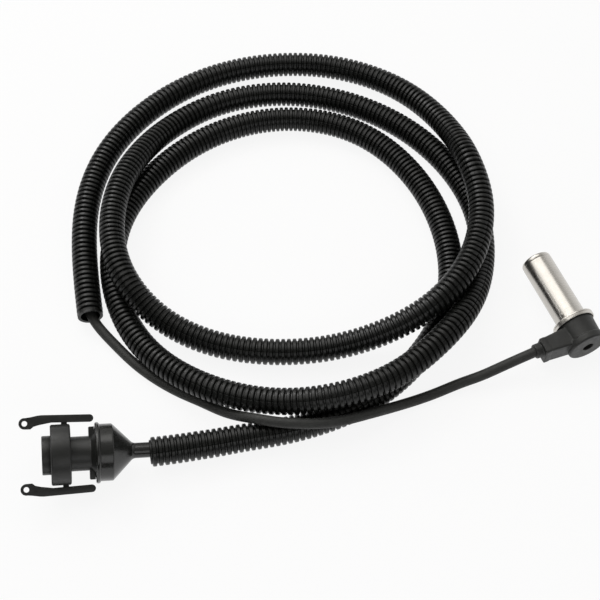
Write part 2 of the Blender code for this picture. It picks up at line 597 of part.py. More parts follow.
def connector_inner(axis, plastic, brass, rubber, core_plastic, jacket):
    """Contact carrier, contacts, face seal, wire seal, retainer, cores and the cable's end."""
    flange_front = MATING_BORE_DEPTH + SHELL_WEB_THICKNESS + TOUCH_GAP
    flange_back = flange_front + TOWER_FLANGE_THICKNESS
    contact_front = TOWER_SETBACK + TOUCH_GAP
    contact_back = contact_front + CONTACT_LENGTH
    carrier_back = contact_back + TOUCH_GAP
    seal_front = carrier_back + TOUCH_GAP
    seal_back = seal_front + WIRE_SEAL_LENGTH
    retainer_front = seal_back + TOUCH_GAP
    retainer_back = retainer_front + RETAINER_LENGTH
    rear_fit = REAR_BORE_RADIUS - SEAL_GAP
    core_bore = CORE_RADIUS + TOUCH_GAP
    tower = [
        (TOWER_SETBACK, 0, 0),
        (TOWER_SETBACK, TOWER_RADIUS, NOSE_ROUND),
        (flange_front, TOWER_RADIUS, 0),
        (flange_front, TOWER_FLANGE_RADIUS, 0),
        (flange_back, TOWER_FLANGE_RADIUS, 0),
        (flange_back, TOWER_RADIUS, 0),
        (carrier_back, TOWER_RADIUS, 0),
        (carrier_back, 0, 0),
    ]
    carrier = place("contact_carrier", turned("contact_carrier", tower, 28), plastic, axis)
    seal_ring = tube("face_seal", TOWER_RADIUS + SEAL_GAP, MATING_BORE_RADIUS - SEAL_GAP,
                     MATING_BORE_DEPTH - TOUCH_GAP - FACE_SEAL_THICKNESS, MATING_BORE_DEPTH - TOUCH_GAP, 28)
    place("face_seal", seal_ring, rubber, axis)
    seal = place("wire_seal", rod("wire_seal", rear_fit, seal_front, seal_back, 28), rubber, axis)
    retainer = place("seal_retainer", rod("seal_retainer", rear_fit, retainer_front, retainer_back, 28), plastic,
                     axis)
    cable_front = CONE_START
    for letter, side in (("a", 1), ("b", -1)):
        spot = (side * CONTACT_OFFSET, 0)
        drill(carrier, f"contact_hole_{letter}", axis, CONTACT_RADIUS + TOUCH_GAP, TOWER_SETBACK - TOUCH_GAP,
              carrier_back + TOUCH_GAP, spot)
        drill(seal, f"seal_hole_{letter}", axis, core_bore, seal_front - TOUCH_GAP, seal_back + TOUCH_GAP, spot)
        drill(retainer, f"retainer_hole_{letter}", axis, core_bore, retainer_front - TOUCH_GAP,
              retainer_back + TOUCH_GAP, spot)
        contact = [
            (contact_front, CONTACT_BORE_RADIUS, 0),
            (contact_front, CONTACT_RADIUS, 0),
            (contact_back, CONTACT_RADIUS, 0),
            (contact_back, 0, 0),
            (contact_front + CONTACT_BORE_DEPTH, 0, 0),
            (contact_front + CONTACT_BORE_DEPTH, CONTACT_BORE_RADIUS, 0),
        ]
        name = f"socket_contact_{letter}"
        place(name, turned(name, contact, 14), brass, axis, (0, *spot))
        meet = side * (CORE_RADIUS + TOUCH_GAP / 2)
        far = side * CONTACT_OFFSET
        bend_start = retainer_back + CORE_RADIUS
        run = np.linspace(contact_back + TOUCH_GAP, cable_front - TOUCH_GAP, CORE_POINTS)
        ease = np.clip((run - bend_start) / (run[-1] - bend_start), 0, 1)
        sideways = far + (meet - far) * (3 * ease ** 2 - 2 * ease ** 3)
        core_line = np.column_stack([run, sideways, np.zeros(CORE_POINTS)])
        cord(f"core_wire_{letter}", core_line, CORE_RADIUS, 2, core_plastic, axis)
    cable_end = rod("cable_end", CABLE_RADIUS, cable_front, NECK_END, 20)
    place("cable_end", cable_end, jacket, axis)


def build():
    """Build the sensor, the connector and the two cords."""
    clear_scene()
    black = finish("black_moulding", (0.020, 0.020, 0.021), 0.42)
    connector_black = finish("connector_moulding", (0.018, 0.018, 0.019), 0.40)
    rubber = finish("black_rubber", (0.024, 0.024, 0.025), 0.48)
    steel = finish("stainless", (0.70, 0.68, 0.65), 0.22, 1.0)
    pin_steel = finish("pole_steel", (0.45, 0.45, 0.46), 0.35, 1.0)
    copper = finish("copper_wire", (0.72, 0.35, 0.20), 0.35, 1.0)
    magnet_grey = finish("magnet_alloy", (0.30, 0.30, 0.31), 0.45, 1.0)
    brass = finish("contact_brass", (0.78, 0.62, 0.30), 0.30, 1.0)
    seal_green = finish("seal_rubber", (0.10, 0.22, 0.12), 0.60)
    jacket = finish("cable_jacket", (0.030, 0.031, 0.030), 0.50)
    core_brown = finish("core_insulation", (0.25, 0.12, 0.06), 0.45)
    conduit_black = finish("conduit_nylon", (0.018, 0.019, 0.018), 0.38)

    sensor_turn = Matrix.Rotation(math.pi / 2, 3, "Z")
    sensor_axis = axis_empty("sensor_axis", (SENSOR_X, SENSOR_Y, AXIS_HEIGHT), sensor_turn)
    sensor_sleeve(sensor_axis, steel)
    sensor_head(sensor_axis, black)
    coil_unit(sensor_axis, black, copper, pin_steel, magnet_grey, brass, seal_green)

    heading = Matrix.Rotation(CONNECTOR_HEADING, 3, "Z")
    tilt = Matrix.Rotation(CONNECTOR_TILT, 3, "Y")
    roll = Matrix.Rotation(CONNECTOR_ROLL, 3, "X")
    connector_turn = heading @ tilt @ roll
    connector_axis = axis_empty("connector_axis", (*CONNECTOR_NOSE, CONNECTOR_HEIGHT), connector_turn)
    connector_shell(connector_axis, connector_black)
    locking_collar(connector_axis, connector_black)
    latch_lever("latch_lever_upper", connector_axis, 1, connector_black)
    latch_lever("latch_lever_lower", connector_axis, -1, connector_black)
    cable_boot(connector_axis, rubber)
    connector_inner(connector_axis, black, brass, seal_green, core_brown, jacket)

    along = connector_turn.col[0]
    neck_face = Vector((*CONNECTOR_NOSE, CONNECTOR_HEIGHT)) + along * (NECK_END + TOUCH_GAP)
    first_run = np.array([neck_face, neck_face + along * CONDUIT_NECK_RUN])
    conduit_points = np.vstack([first_run, np.array(CONDUIT_ROUTE_MM) * MILLIMETRE])
    conduit_line = np.insert(smooth_line(conduit_points, CONDUIT_POINT_SPACING), 1, first_run[1], axis=0)
    cord("conduit", conduit_line, CONDUIT_RADIUS, 4, conduit_black)
    collar_face = np.array((SENSOR_X - ARM_TIP - TOUCH_GAP, SENSOR_Y - ARM_OFFSET, AXIS_HEIGHT))
    first_run = np.array([collar_face, collar_face - (CABLE_COLLAR_RUN, 0, 0)])
    cable_points = np.vstack([first_run, np.array(CABLE_ROUTE_MM) * MILLIMETRE])
    cable_line = np.insert(smooth_line(cable_points, CABLE_POINT_SPACING), 1, first_run[1], axis=0)
    cord("cable", cable_line, CABLE_RADIUS, 3, jacket)


build()
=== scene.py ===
"""Wheel speed sensor with its cable, corrugated conduit and latching round connector, in a pale studio."""

import logging
import math
from dataclasses import dataclass, field
from enum import Enum

import bmesh
import bpy
import numpy as np
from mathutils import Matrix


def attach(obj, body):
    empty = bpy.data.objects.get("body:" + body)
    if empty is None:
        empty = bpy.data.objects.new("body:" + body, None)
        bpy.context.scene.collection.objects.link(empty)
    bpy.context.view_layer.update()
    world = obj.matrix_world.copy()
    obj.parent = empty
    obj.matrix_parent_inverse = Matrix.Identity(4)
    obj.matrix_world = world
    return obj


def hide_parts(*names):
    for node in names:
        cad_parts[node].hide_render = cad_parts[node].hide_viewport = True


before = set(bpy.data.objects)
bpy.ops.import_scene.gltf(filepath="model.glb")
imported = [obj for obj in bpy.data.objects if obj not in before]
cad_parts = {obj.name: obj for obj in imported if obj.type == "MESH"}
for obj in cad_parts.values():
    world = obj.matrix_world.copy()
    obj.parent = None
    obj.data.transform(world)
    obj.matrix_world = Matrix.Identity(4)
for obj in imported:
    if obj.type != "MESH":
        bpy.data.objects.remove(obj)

Triple = tuple[float, float, float]
Socket = bpy.types.NodeSocket
Piece = bpy.types.Object

LOG = logging.getLogger("wheel_speed_sensor")
MM = 0.001
# The gap that pieces keep where they seat on each other, as the solids do.
SEAT_GAP = 0.3 * MM


class Shading(Enum):
    """How far apart two faces may turn before the edge between them shows."""

    SOFT = math.radians(60)
    CRISP = math.radians(32)


@dataclass(frozen=True)
class Axes:
    """The own axes of a sub-assembly: X along it, placed in the row frame.

    Attributes:
        origin: where its own zero lies, in metres.
        heading: turn about the row's Z, in degrees.
        tilt: turn about the headed Y, in degrees, which lowers the far end.
        roll: turn about its own X, in degrees.
    """

    origin: Triple
    heading: float
    tilt: float = 0.0
    roll: float = 0.0

    def turn(self) -> np.ndarray:
        """Return the 3 by 3 rotation: roll about X first, then tilt about Y, then heading about Z."""
        yaw, tilt, roll = (math.radians(angle) for angle in (self.heading, self.tilt, self.roll))
        about_z = np.array([[math.cos(yaw), -math.sin(yaw), 0], [math.sin(yaw), math.cos(yaw), 0], [0, 0, 1]])
        about_x = np.array([[1, 0, 0], [0, math.cos(roll), -math.sin(roll)], [0, math.sin(roll), math.cos(roll)]])
        about_y = np.array([[math.cos(tilt), 0, math.sin(tilt)], [0, 1, 0], [-math.sin(tilt), 0, math.cos(tilt)]])
        return about_z @ about_y @ about_x

    def place(self, local: np.ndarray) -> np.ndarray:
        """Return points of these axes as points of the row frame."""
        return local @ self.turn().T + np.array(self.origin)


SENSOR_AXES = Axes((0.0074, -0.01155, 0.011), 90.0)
CONNECTOR_AXES = Axes((-0.2626, 0.0198, 0.018595), -15.6, 9.0, 24.0)
# The end of the boot's neck along the connector's axis, which the conduit starts from.
NECK_END = 0.0506
# The nodes that no piece replaces, with their finishes.
SENSOR_INSIDE: dict[str, str] = {
    "pole_pin": "pole", "coil_bobbin": "connector", "coil_winding": "copper", "magnet": "magnet",
    "sleeve_o_ring": "seal", "terminal_pin_a": "brass", "terminal_pin_b": "brass"}
CONNECTOR_INSIDE: dict[str, str] = {
    "contact_carrier": "connector", "socket_contact_a": "brass", "socket_contact_b": "brass", "face_seal": "seal",
    "wire_seal": "seal", "seal_retainer": "connector", "core_wire_a": "core", "core_wire_b": "core"}


def rounded(outline: list[Triple], steps: int = 6) -> np.ndarray:
    """Return an outline with its corners rounded.

    At each corner of round r the two sides are cut back by r / tan(half the corner's angle), and an arc
    of radius r about the centre that both sides touch joins them.

    Args:
        outline: closed outline of (x, y, round) corners.
        steps: spans in each arc.

    Returns:
        The points, one row each.
    """
    corners = np.array(outline, float)
    points: list[np.ndarray] = []
    for index, (x, y, fillet) in enumerate(corners):
        corner = np.array([x, y])
        if fillet <= 0:
            points.append(corner[None])
            continue
        before = corners[index - 1, :2] - corner
        after = corners[(index + 1) % len(corners), :2] - corner
        before, after = before / np.linalg.norm(before), after / np.linalg.norm(after)
        half = math.acos(float(np.clip(before @ after, -1, 1))) / 2
        middle = (before + after) / np.linalg.norm(before + after)
        centre = corner + middle * fillet / math.sin(half)
        first = corner + before * fillet / math.tan(half) - centre
        last = corner + after * fillet / math.tan(half) - centre
        share = np.linspace(0, 1, steps + 1)[:, None]
        arc = first * (1 - share) + last * share
        points.append(centre + fillet * arc / np.linalg.norm(arc, axis=1)[:, None])
    return np.vstack(points)


def smooth_line(points: np.ndarray, spacing: float) -> np.ndarray:
    """Return evenly spaced points on the natural cubic spline through the given points.

    Each span between two points is the cubic whose second derivative runs straight from one point's
    bend to the next one's, and the bends solve the system that keeps the slope the same on both sides.

    Args:
        points: route points, one row each, in metres.
        spacing: distance between the returned points, in metres.
    """
    spans = np.linalg.norm(np.diff(points, axis=0), axis=1)[:, None]
    slope = np.diff(points, axis=0) / spans
    count = len(points)
    system, pull = np.eye(count), np.zeros((count, 3))
    inner = np.arange(1, count - 1)
    system[inner, inner - 1], system[inner, inner + 1] = spans[:-1, 0], spans[1:, 0]
    system[inner, inner] = 2 * (spans[:-1, 0] + spans[1:, 0])
    pull[1:-1] = 6 * np.diff(slope, axis=0)
    bend = np.linalg.solve(system, pull)
    share = np.linspace(0, 1, 60, endpoint=False)[None, :, None]
    width, done = spans[:, :, None], share * spans[:, :, None]
    left = width - done
    fine = (bend[:-1, None] * left ** 3 + bend[1:, None] * done ** 3) / (6 * width)
    fine = fine + (points[:-1, None] / width - bend[:-1, None] * width / 6) * left
    fine = fine + (points[1:, None] / width - bend[1:, None] * width / 6) * done
    fine = np.vstack([fine.reshape(-1, 3), points[-1:]])
    along = np.concatenate([[0], np.cumsum(np.linalg.norm(np.diff(fine, axis=0), axis=1))])
    at = np.linspace(0, along[-1], round(along[-1] / spacing) + 1)
    return np.stack([np.interp(at, along, fine[:, k]) for k in range(3)], axis=1)


def line_length(points: np.ndarray) -> float:
    """Return the length of a line of points."""
    return float(np.linalg.norm(np.diff(points, axis=0), axis=1).sum())


def adopt(name: str, data: bpy.types.ID) -> Piece:
    """Return a new object of that mesh, camera or lamp, linked to the scene at the origin."""
    item = bpy.data.objects.new(name, data)
    bpy.context.scene.collection.objects.link(item)
    return item


def grid_solid(name: str, points: np.ndarray, along: np.ndarray, shading: Shading) -> Piece:
    """Return a closed solid of a grid that joins up both ways.

    Row i and column j of the grid are one ring's place along the surface and one place round the ring.
    Both directions wrap, and rings of no radius are merged to one point.

    Args:
        name: name of the object.
        points: (rows, columns, 3) places in metres.
        along: (rows,) distance along the surface, kept in the UV map beside the turn round the ring.
        shading: which edges show.
    """
    rows, columns = points.shape[:2]
    i, j = np.meshgrid(np.arange(rows), np.arange(columns), indexing="ij")
    after_i, after_j = (i + 1) % rows, (j + 1) % columns
    faces = np.stack([i * columns + j, after_i * columns + j, after_i * columns + after_j, i * columns + after_j],
                     axis=2).reshape(-1, 4)
    mesh = bpy.data.meshes.new(name)
    mesh.from_pydata(points.reshape(-1, 3), [], faces)
    turn = np.stack([j, j, j + 1, j + 1], axis=2) / columns
    place = np.stack([along[i], along[after_i], along[after_i], along[i]], axis=2)
    uv = mesh.uv_layers.new(name="surface")
    uv.data.foreach_set("uv", np.stack([turn, place], axis=3).ravel())
    tidy_mesh(mesh, shading)
    return adopt(name, mesh)


def tidy_mesh(mesh: bpy.types.Mesh, shading: Shading) -> None:
    """Merge doubled points, turn the faces outwards and set the edges that show."""
    build = bmesh.new()
    build.from_mesh(mesh)
    bmesh.ops.remove_doubles(build, verts=build.verts, dist=2e-7)
    bmesh.ops.dissolve_degenerate(build, edges=build.edges, dist=1e-8)
    bmesh.ops.recalc_face_normals(build, faces=build.faces)
    build.to_mesh(mesh)
    build.free()
    mesh.shade_smooth()
    mesh.set_sharp_from_angle(angle=shading.value)


def turned(name: str, outline: list[Triple], sides: int = 96) -> Piece:
    """Return a closed solid of revolution about X.

    A point (x, r) of the rounded outline becomes the circle (x, r cos t, r sin t).

    Args:
        name: name of the object.
        outline: closed outline of (x, radius, round) corners.
        sides: places round the circle.
    """
    profile = rounded(outline)
    turn = np.linspace(0, math.tau, sides, endpoint=False)
    radius = np.maximum(profile[:, 1], 0)[:, None]
    points = np.stack([np.broadcast_to(profile[:, :1], (len(profile), sides)), radius * np.cos(turn),
                       radius * np.sin(turn)], axis=2)
    steps = np.linalg.norm(np.diff(profile, axis=0), axis=1)
    return grid_solid(name, points, np.concatenate([[0], np.cumsum(steps)]), Shading.CRISP)


def slab(name: str, outline: np.ndarray, low: float, high: float) -> Piece:
    """Return the solid between two heights of Z whose plan is the outline."""
    count = len(outline)
    floor = np.column_stack([outline, np.full(count, low)])
    roof = np.column_stack([outline, np.full(count, high)])
    first = np.arange(count)
    second = (first + 1) % count
    walls = np.stack([first, second, second + count, first + count], axis=1).tolist()
    mesh = bpy.data.meshes.new(name)
    mesh.from_pydata(np.vstack([floor, roof]), [], [first[::-1].tolist(), (first + count).tolist(), *walls])
    tidy_mesh(mesh, Shading.CRISP)
    return adopt(name, mesh)


def swept_box(name: str, stations: np.ndarray, power: float, sides: int) -> Piece:
    """Return a bar with softly squared sections, carried along X.

    Round the section, t gives the place (w |cos t|^(2/p) sign cos t, h |sin t|^(2/p) sign sin t), which is
    an ellipse for power 2 and nears a rectangle as the power grows.

    Args:
        name: name of the object.
        stations: rows of (x, y centre, z centre, half width, half height) in metres.
        power: how square the section is.
        sides: places round the section.
    """
    turn = np.linspace(0, math.tau, sides, endpoint=False)
    across = np.sign(np.cos(turn)) * np.abs(np.cos(turn)) ** (2 / power)
    up = np.sign(np.sin(turn)) * np.abs(np.sin(turn)) ** (2 / power)
    first, last = stations[:1].copy(), stations[-1:].copy()
    first[0, 3:], last[0, 3:] = 0, 0
    rows = np.vstack([first, stations, last])
    points = np.stack([np.broadcast_to(rows[:, :1], (len(rows), sides)), rows[:, 1:2] + rows[:, 3:4] * across,
                       rows[:, 2:3] + rows[:, 4:5] * up], axis=2)
    steps = np.abs(np.diff(rows[:, 0]))
    return grid_solid(name, points, np.concatenate([[0], np.cumsum(steps)]), Shading.SOFT)


def bake(item: Piece) -> None:
    """Apply every modifier of a piece to its mesh."""
    graph = bpy.context.evaluated_depsgraph_get()
    done = bpy.data.meshes.new_from_object(item.evaluated_get(graph))
    item.modifiers.clear()
    item.data = done


def combine(item: Piece, other: Piece, operation: str) -> None:
    """Join another solid to a piece or cut it away, and drop the other solid."""
    modifier = item.modifiers.new("shape", "BOOLEAN")
    modifier.operation, modifier.solver, modifier.object = operation, "EXACT", other
    bake(item)
    bpy.data.objects.remove(other, do_unlink=True)


def soften(item: Piece, voxel: float, passes: int) -> None:
    """Give every edge of a moulded piece its small round.

    The surface is rebuilt from voxels and then each point moves half way to the mean of its neighbours,
    a few times over, which rounds edges and fills inner corners alike.
    """
    remesh = item.modifiers.new("skin", "REMESH")
    remesh.mode, remesh.voxel_size = "VOXEL", voxel
    smooth = item.modifiers.new("round", "SMOOTH")
    smooth.factor, smooth.iterations = 0.5, passes
    bake(item)
    item.data.shade_smooth()


def bevelled(item: Piece, width: float, segments: int) -> None:
    """Round the sharp edges of a piece."""
    bevel = item.modifiers.new("edges", "BEVEL")
    bevel.width, bevel.segments, bevel.limit_method = width, segments, "ANGLE"
    bevel.angle_limit = math.radians(40)
    bake(item)
    item.data.shade_smooth()
    item.data.set_sharp_from_angle(angle=Shading.SOFT.value)


def move_points(item: Piece, axes: Axes) -> None:
    """Move a piece's mesh from its own axes into the row frame; the object stays at the origin."""
    flat = np.empty(len(item.data.vertices) * 3)
    item.data.vertices.foreach_get("co", flat)
    item.data.vertices.foreach_set("co", axes.place(flat.reshape(-1, 3)).ravel())
    item.data.update()


class Wiring:
    """A short way to wire the nodes of a material or a world."""

    def __init__(self, owner: bpy.types.Material | bpy.types.World) -> None:
        """Start from the owner's own node tree."""
        owner.use_nodes = True
        self.tree = owner.node_tree
        self.spot = self.tree.nodes.new("ShaderNodeTexCoord")

    def add(self, kind: str, inputs: dict[str | int, object] | None = None, **settings: object) -> bpy.types.Node:
        """Add a node with its settings, values and links.

        Args:
            kind: node type without its ShaderNode prefix.
            inputs: socket name or number to a value, or to the socket that feeds it.
            **settings: attributes of the node.
        """
        node = self.tree.nodes.new("ShaderNode" + kind)
        for key, value in settings.items():
            setattr(node, key, value)
        for key, value in (inputs or {}).items():
            if isinstance(value, Socket):
                self.tree.links.new(value, node.inputs[key])
            else:
                node.inputs[key].default_value = value
        return node


class Nodes(Wiring):
    """A material's nodes round its Principled shader."""

    def __init__(self, name: str) -> None:
        """Start a material of that name."""
        self.material = bpy.data.materials.new(name)
        super().__init__(self.material)
        self.shader = self.tree.nodes["Principled BSDF"]

    def feed(self, socket: str, value: object) -> None:
        """Set a socket of the shader, or link it."""
        if isinstance(value, Socket):
            self.tree.links.new(value, self.shader.inputs[socket])
        else:
            self.shader.inputs[socket].default_value = value

    def noise(self, scale: float, detail: float = 3.0, where: Socket | None = None) -> Socket:
        """Return noise of that many bumps to the metre."""
        place = where or self.spot.outputs["Object"]
        return self.add("TexNoise", {"Vector": place, "Scale": scale, "Detail": detail}).outputs["Fac"]

    def spread(self, value: Socket, low: float, high: float, start: float = 0.3, end: float = 0.7) -> Socket:
        """Return a value mapped from start..end to low..high."""
        inputs = {"Value": value, "From Min": start, "From Max": end, "To Min": low, "To Max": high}
        return self.add("MapRange", inputs).outputs["Result"]

    def paint(self, value: Socket, colour: Triple, low: float, high: float) -> None:
        """Feed the base colour: the colour times low where the value is 0, and times high where it is 1."""
        mix = self.add("Mix", {"Factor": value}, data_type="RGBA")
        for socket, share in (("A", low), ("B", high)):
            mix.inputs[socket].default_value = (*(c * share for c in colour), 1)
        self.feed("Base Color", mix.outputs["Result"])

    def relief(self, height: Socket, depth: float, under: Socket | None = None) -> Socket:
        """Return a bumped normal, whose height is in metres per unit, on top of another."""
        inputs: dict[str | int, object] = {"Height": height, "Distance": depth, "Strength": 1.0}
        if under is not None:
            inputs["Normal"] = under
        return self.add("Bump", inputs).outputs["Normal"]


@dataclass(frozen=True)
class Finish:
    """What every finish states.

    Attributes:
        name: name of the material.
        colour: base colour, linear.
        roughness: mean roughness.
    """

    name: str
    colour: Triple
    roughness: float = 0.42


@dataclass(frozen=True)
class Moulding(Finish):
    """A moulded plastic or rubber finish with fine grain and faint flow marks.

    Attributes:
        variation: how far the colour strays, as a share of it.
        grain: bumps to the metre.
        grain_depth: height of the grain in metres.
        coat: weight of a polished skin.
        specular: level of the plain reflection.
    """

    variation: float = 0.25
    grain: float = 2600.0
    grain_depth: float = 0.00002
    coat: float = 0.0
    specular: float = 0.5

    def material(self) -> bpy.types.Material:
        """Return the material."""
        nodes = Nodes(self.name)
        cloud = nodes.noise(150.0, 4.0)
        nodes.paint(nodes.spread(cloud, 0, 1), self.colour, 1 - self.variation, 1 + self.variation)
        streaks = nodes.noise(520.0, 2.0)
        nodes.feed("Roughness", nodes.spread(streaks, self.roughness - 0.05, self.roughness + 0.07))
        grain = nodes.relief(nodes.noise(self.grain, 2.0), self.grain_depth)
        nodes.feed("Normal", nodes.relief(nodes.noise(210.0, 2.0), self.grain_depth * 3, grain))
        nodes.feed("Coat Weight", self.coat)
        nodes.feed("Coat Roughness", 0.25)
        nodes.feed("Specular IOR Level", self.specular)
        return nodes.material


@dataclass(frozen=True)
class ConduitNylon(Finish):
    """Corrugated black polyamide: satin crests with faint dust and two fine mould lines along it.

    Attributes:
        specular: level of the plain reflection.
        seams: two shares of a turn, s and h, which put the mould lines at s - h and s + h.
    """

    name: str = "conduit_nylon"
    colour: Triple = (0.0040, 0.0044, 0.0038)
    roughness: float = 0.30
    specular: float = 0.37
    seams: tuple[float, float] = (0.26, 0.094)

    def material(self) -> bpy.types.Material:
        """Return the material."""
        nodes = Nodes(self.name)
        split = nodes.add("SeparateXYZ", {"Vector": nodes.spot.outputs["UV"]})
        cloud = nodes.noise(70.0, 4.0)
        nodes.paint(nodes.spread(cloud, 0, 1), self.colour, 1.0, 1.5)
        scuff = nodes.noise(900.0, 3.0)
        nodes.feed("Roughness", nodes.spread(scuff, self.roughness - 0.05, self.roughness + 0.1))
        seam = split.outputs["X"]
        for turn in self.seams:
            seam = nodes.add("Math", {0: seam, 1: turn}, operation="SUBTRACT").outputs[0]
            seam = nodes.add("Math", {0: seam}, operation="ABSOLUTE").outputs[0]
        ridge = nodes.spread(seam, 0.0, 1.0, 0.002, 0.008)
        grain = nodes.relief(nodes.noise(2400.0, 2.0), 0.000012)
        nodes.feed("Normal", nodes.relief(ridge, 0.00012, grain))
        nodes.feed("Specular IOR Level", nodes.spread(seam, self.specular * 0.25, self.specular, 0.003, 0.009))
        return nodes.material


@dataclass(frozen=True)
class DrawnSteel(Finish):
    """Bright drawn stainless with fine lines round it, faint stains and a warm tone."""

    name: str = "drawn_stainless"
    colour: Triple = (0.63, 0.605, 0.565)
    roughness: float = 0.25

    def material(self) -> bpy.types.Material:
        """Return the material."""
        nodes = Nodes(self.name)
        stretch = nodes.add("Mapping", {"Vector": nodes.spot.outputs["UV"], "Scale": (1.5, 9000.0, 1.0)})
        lines = nodes.noise(1.0, 3.0, stretch.outputs["Vector"])
        cloud = nodes.noise(110.0, 4.0)
        nodes.paint(nodes.spread(cloud, 0, 1), self.colour, 0.86, 1.0)
        wear = nodes.spread(cloud, -0.03, 0.05)
        rough = nodes.add("Math", {0: nodes.spread(lines, self.roughness - 0.02, self.roughness + 0.05), 1: wear},
                          operation="ADD")
        nodes.feed("Roughness", rough.outputs[0])
        nodes.feed("Metallic", 1.0)
        nodes.feed("Normal", nodes.relief(lines, 0.0000009))
        return nodes.material


@dataclass(frozen=True)
class PlainMetal(Finish):
    """A metal of the hidden pieces, with faint tarnish and fine grain."""

    def material(self) -> bpy.types.Material:
        """Return the material."""
        nodes = Nodes(self.name)
        cloud = nodes.noise(400.0, 4.0)
        nodes.paint(nodes.spread(cloud, 0, 1), self.colour, 0.7, 1.0)
        nodes.feed("Roughness", nodes.spread(cloud, self.roughness + 0.1, self.roughness - 0.05))
        nodes.feed("Metallic", 1.0)
        nodes.feed("Normal", nodes.relief(nodes.noise(3000.0, 2.0), 0.000006))
        return nodes.material


@dataclass(frozen=True)
class Winding(Finish):
    """Enamelled copper wire wound in fine turns round the row's Y, with painted shade in the grooves between the
    turns.
    """

    name: str = "copper_turns"
    colour: Triple = (0.62, 0.26, 0.12)
    turns_per_metre: float = 5200.0

    def material(self) -> bpy.types.Material:
        """Return the material."""
        nodes = Nodes(self.name)
        turns_and_shade = nodes.add("TexWave", {"Vector": nodes.spot.outputs["Object"], "Scale": self.turns_per_metre / 20,
                                     "Distortion": 0.4, "Detail": 1.0}, bands_direction="Y")
        # Painted shade: the colour drops to 0.45 of itself in the grooves between the turns.
        nodes.paint(turns_and_shade.outputs["Fac"], self.colour, 0.45, 1.0)
        nodes.feed("Metallic", 1.0)
        nodes.feed("Roughness", nodes.spread(nodes.noise(600.0), 0.25, 0.4))
        nodes.feed("Normal", nodes.relief(turns_and_shade.outputs["Fac"], 0.00006))
        return nodes.material


class Finishes:
    """The object's materials, each made once."""

    def __init__(self) -> None:
        """Make the materials."""
        self.head = Moulding("head_moulding", (0.0150, 0.0155, 0.0143), roughness=0.48, variation=0.3,
                             grain_depth=0.00003).material()
        self.connector = Moulding("connector_moulding", (0.0095, 0.0100, 0.0090), variation=0.2, grain=3000.0,
                                  grain_depth=0.000004).material()
        self.boot = Moulding("boot_rubber", (0.0090, 0.0095, 0.0085), roughness=0.20, grain=2400.0,
                             grain_depth=0.000002, coat=0.2).material()
        self.jacket = Moulding("cable_jacket", (0.021, 0.0217, 0.0200), roughness=0.60, variation=0.2, grain=3400.0,
                               grain_depth=0.00001).material()
        self.seal = Moulding("seal_rubber", (0.05, 0.16, 0.07), roughness=0.55, variation=0.2,
                             grain=2400.0).material()
        self.core = Moulding("core_insulation", (0.22, 0.09, 0.04), roughness=0.4, variation=0.15, grain=2400.0,
                             grain_depth=0.00001).material()
        self.conduit = ConduitNylon().material()
        self.steel = DrawnSteel().material()
        self.pole = PlainMetal("pole_steel", (0.48, 0.48, 0.49), 0.3).material()
        self.magnet = PlainMetal("magnet_alloy", (0.32, 0.32, 0.33), 0.45).material()
        self.brass = PlainMetal("contact_brass", (0.80, 0.63, 0.30), 0.28).material()
        self.copper = Winding().material()


def dress(nodes: dict[str, str], finishes: Finishes) -> None:
    """Give CAD nodes their finishes; their shapes and places stay.

    Args:
        nodes: name of each node to the name of its finish.
        finishes: the materials.
    """
    for node, finish in nodes.items():
        material = getattr(finishes, finish)
        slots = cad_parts[node].material_slots
        if not slots:
            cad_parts[node].data.materials.append(material)
        for slot in slots:
            slot.material = material
        LOG.info("node %s wears %s", node, material.name)


def settle(item: Piece, axes: Axes | None, material: bpy.types.Material, body: str, slot: str,
           *nodes: str) -> None:
    """Finish a piece: place it, dress it, and let it ride for its CAD nodes.

    Args:
        item: the piece, in its own axes.
        axes: its own axes, or None for a piece that is in the row frame already.
        material: its finish.
        body: the body it rides on.
        slot: the record's material slot; not used.
        *nodes: the CAD nodes that it stands for.
    """
    if axes is not None:
        move_points(item, axes)
    item.data.materials.clear()
    item.data.materials.append(material)
    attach(item, body)
    if nodes:
        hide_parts(*nodes)
    LOG.info("piece %s: %d points on %s", item.name, len(item.data.vertices), body)


@dataclass(frozen=True)
class Lamp:
    """A soft area lamp.

    Attributes:
        name: name of the lamp.
        at: its place in metres.
        size: its width and height in metres.
        power: watts.
        colour: its tint.
    """

    name: str
    at: Triple
    size: tuple[float, float]
    power: float
    colour: Triple = (1.0, 1.0, 1.0)

    def build(self) -> Piece:
        """Make the lamp at its place."""
        data = bpy.data.lights.new(self.name, "AREA")
        data.shape, data.size, data.size_y = "RECTANGLE", *self.size
        data.energy, data.color = self.power, self.colour
        return adopt(self.name, data)


